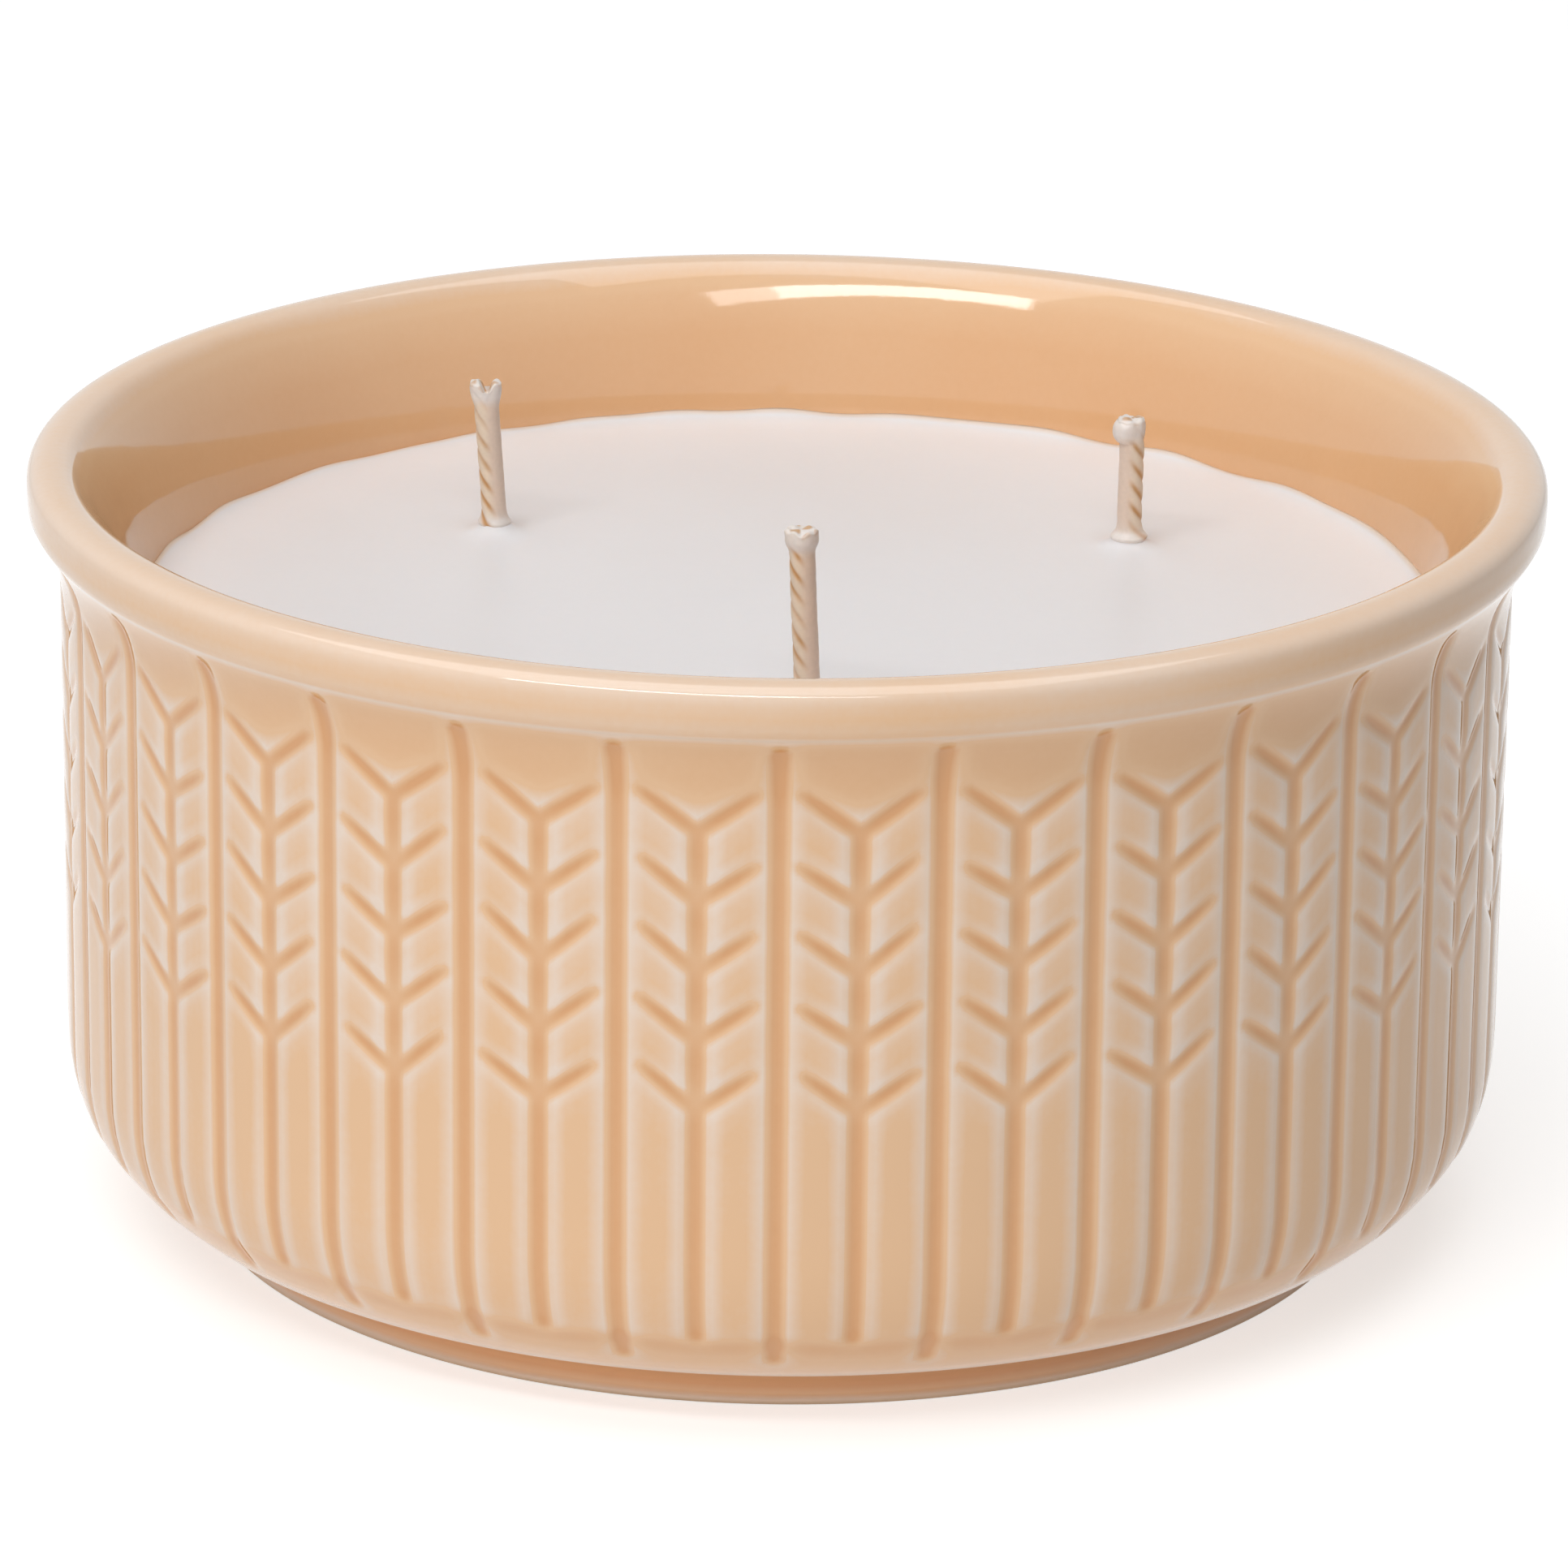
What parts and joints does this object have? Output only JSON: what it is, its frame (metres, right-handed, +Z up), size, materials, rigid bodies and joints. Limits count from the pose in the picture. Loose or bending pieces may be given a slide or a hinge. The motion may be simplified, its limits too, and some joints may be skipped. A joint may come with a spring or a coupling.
{
  "type": "container candle",
  "caption": "Round glazed ceramic bowl with a rolled lip, pressed wheat-ear relief and foot ring, filled with white wax and holding upright waxed cotton wicks.",
  "frame": {"origin": "centre of the foot ring, on the surface that the bowl stands on", "axes": "+Z up along the bowl's axis; -Y is the front, where one divider groove of the relief faces and the nearest wick stands; +X to the right"},
  "size_m": [0.14, 0.14, 0.0748],
  "materials": {
    "glazed_stoneware": "gloss",
    "candle_wax": "satin",
    "waxed_cotton": "matte",
    "tin_plate": "satin",
    "adhesive_foam": "matte"
  },
  "bodies": {
    "root": {"bowl": "glazed_stoneware", "wax": "candle_wax", "wick_left": "waxed_cotton", "wick_right": "waxed_cotton", "wick_front": "waxed_cotton", "wick_sustainer_left": "tin_plate", "wick_sustainer_right": "tin_plate", "wick_sustainer_front": "tin_plate", "wick_sticker_left": "adhesive_foam", "wick_sticker_right": "adhesive_foam", "wick_sticker_front": "adhesive_foam"}
  },
  "joints": []
}
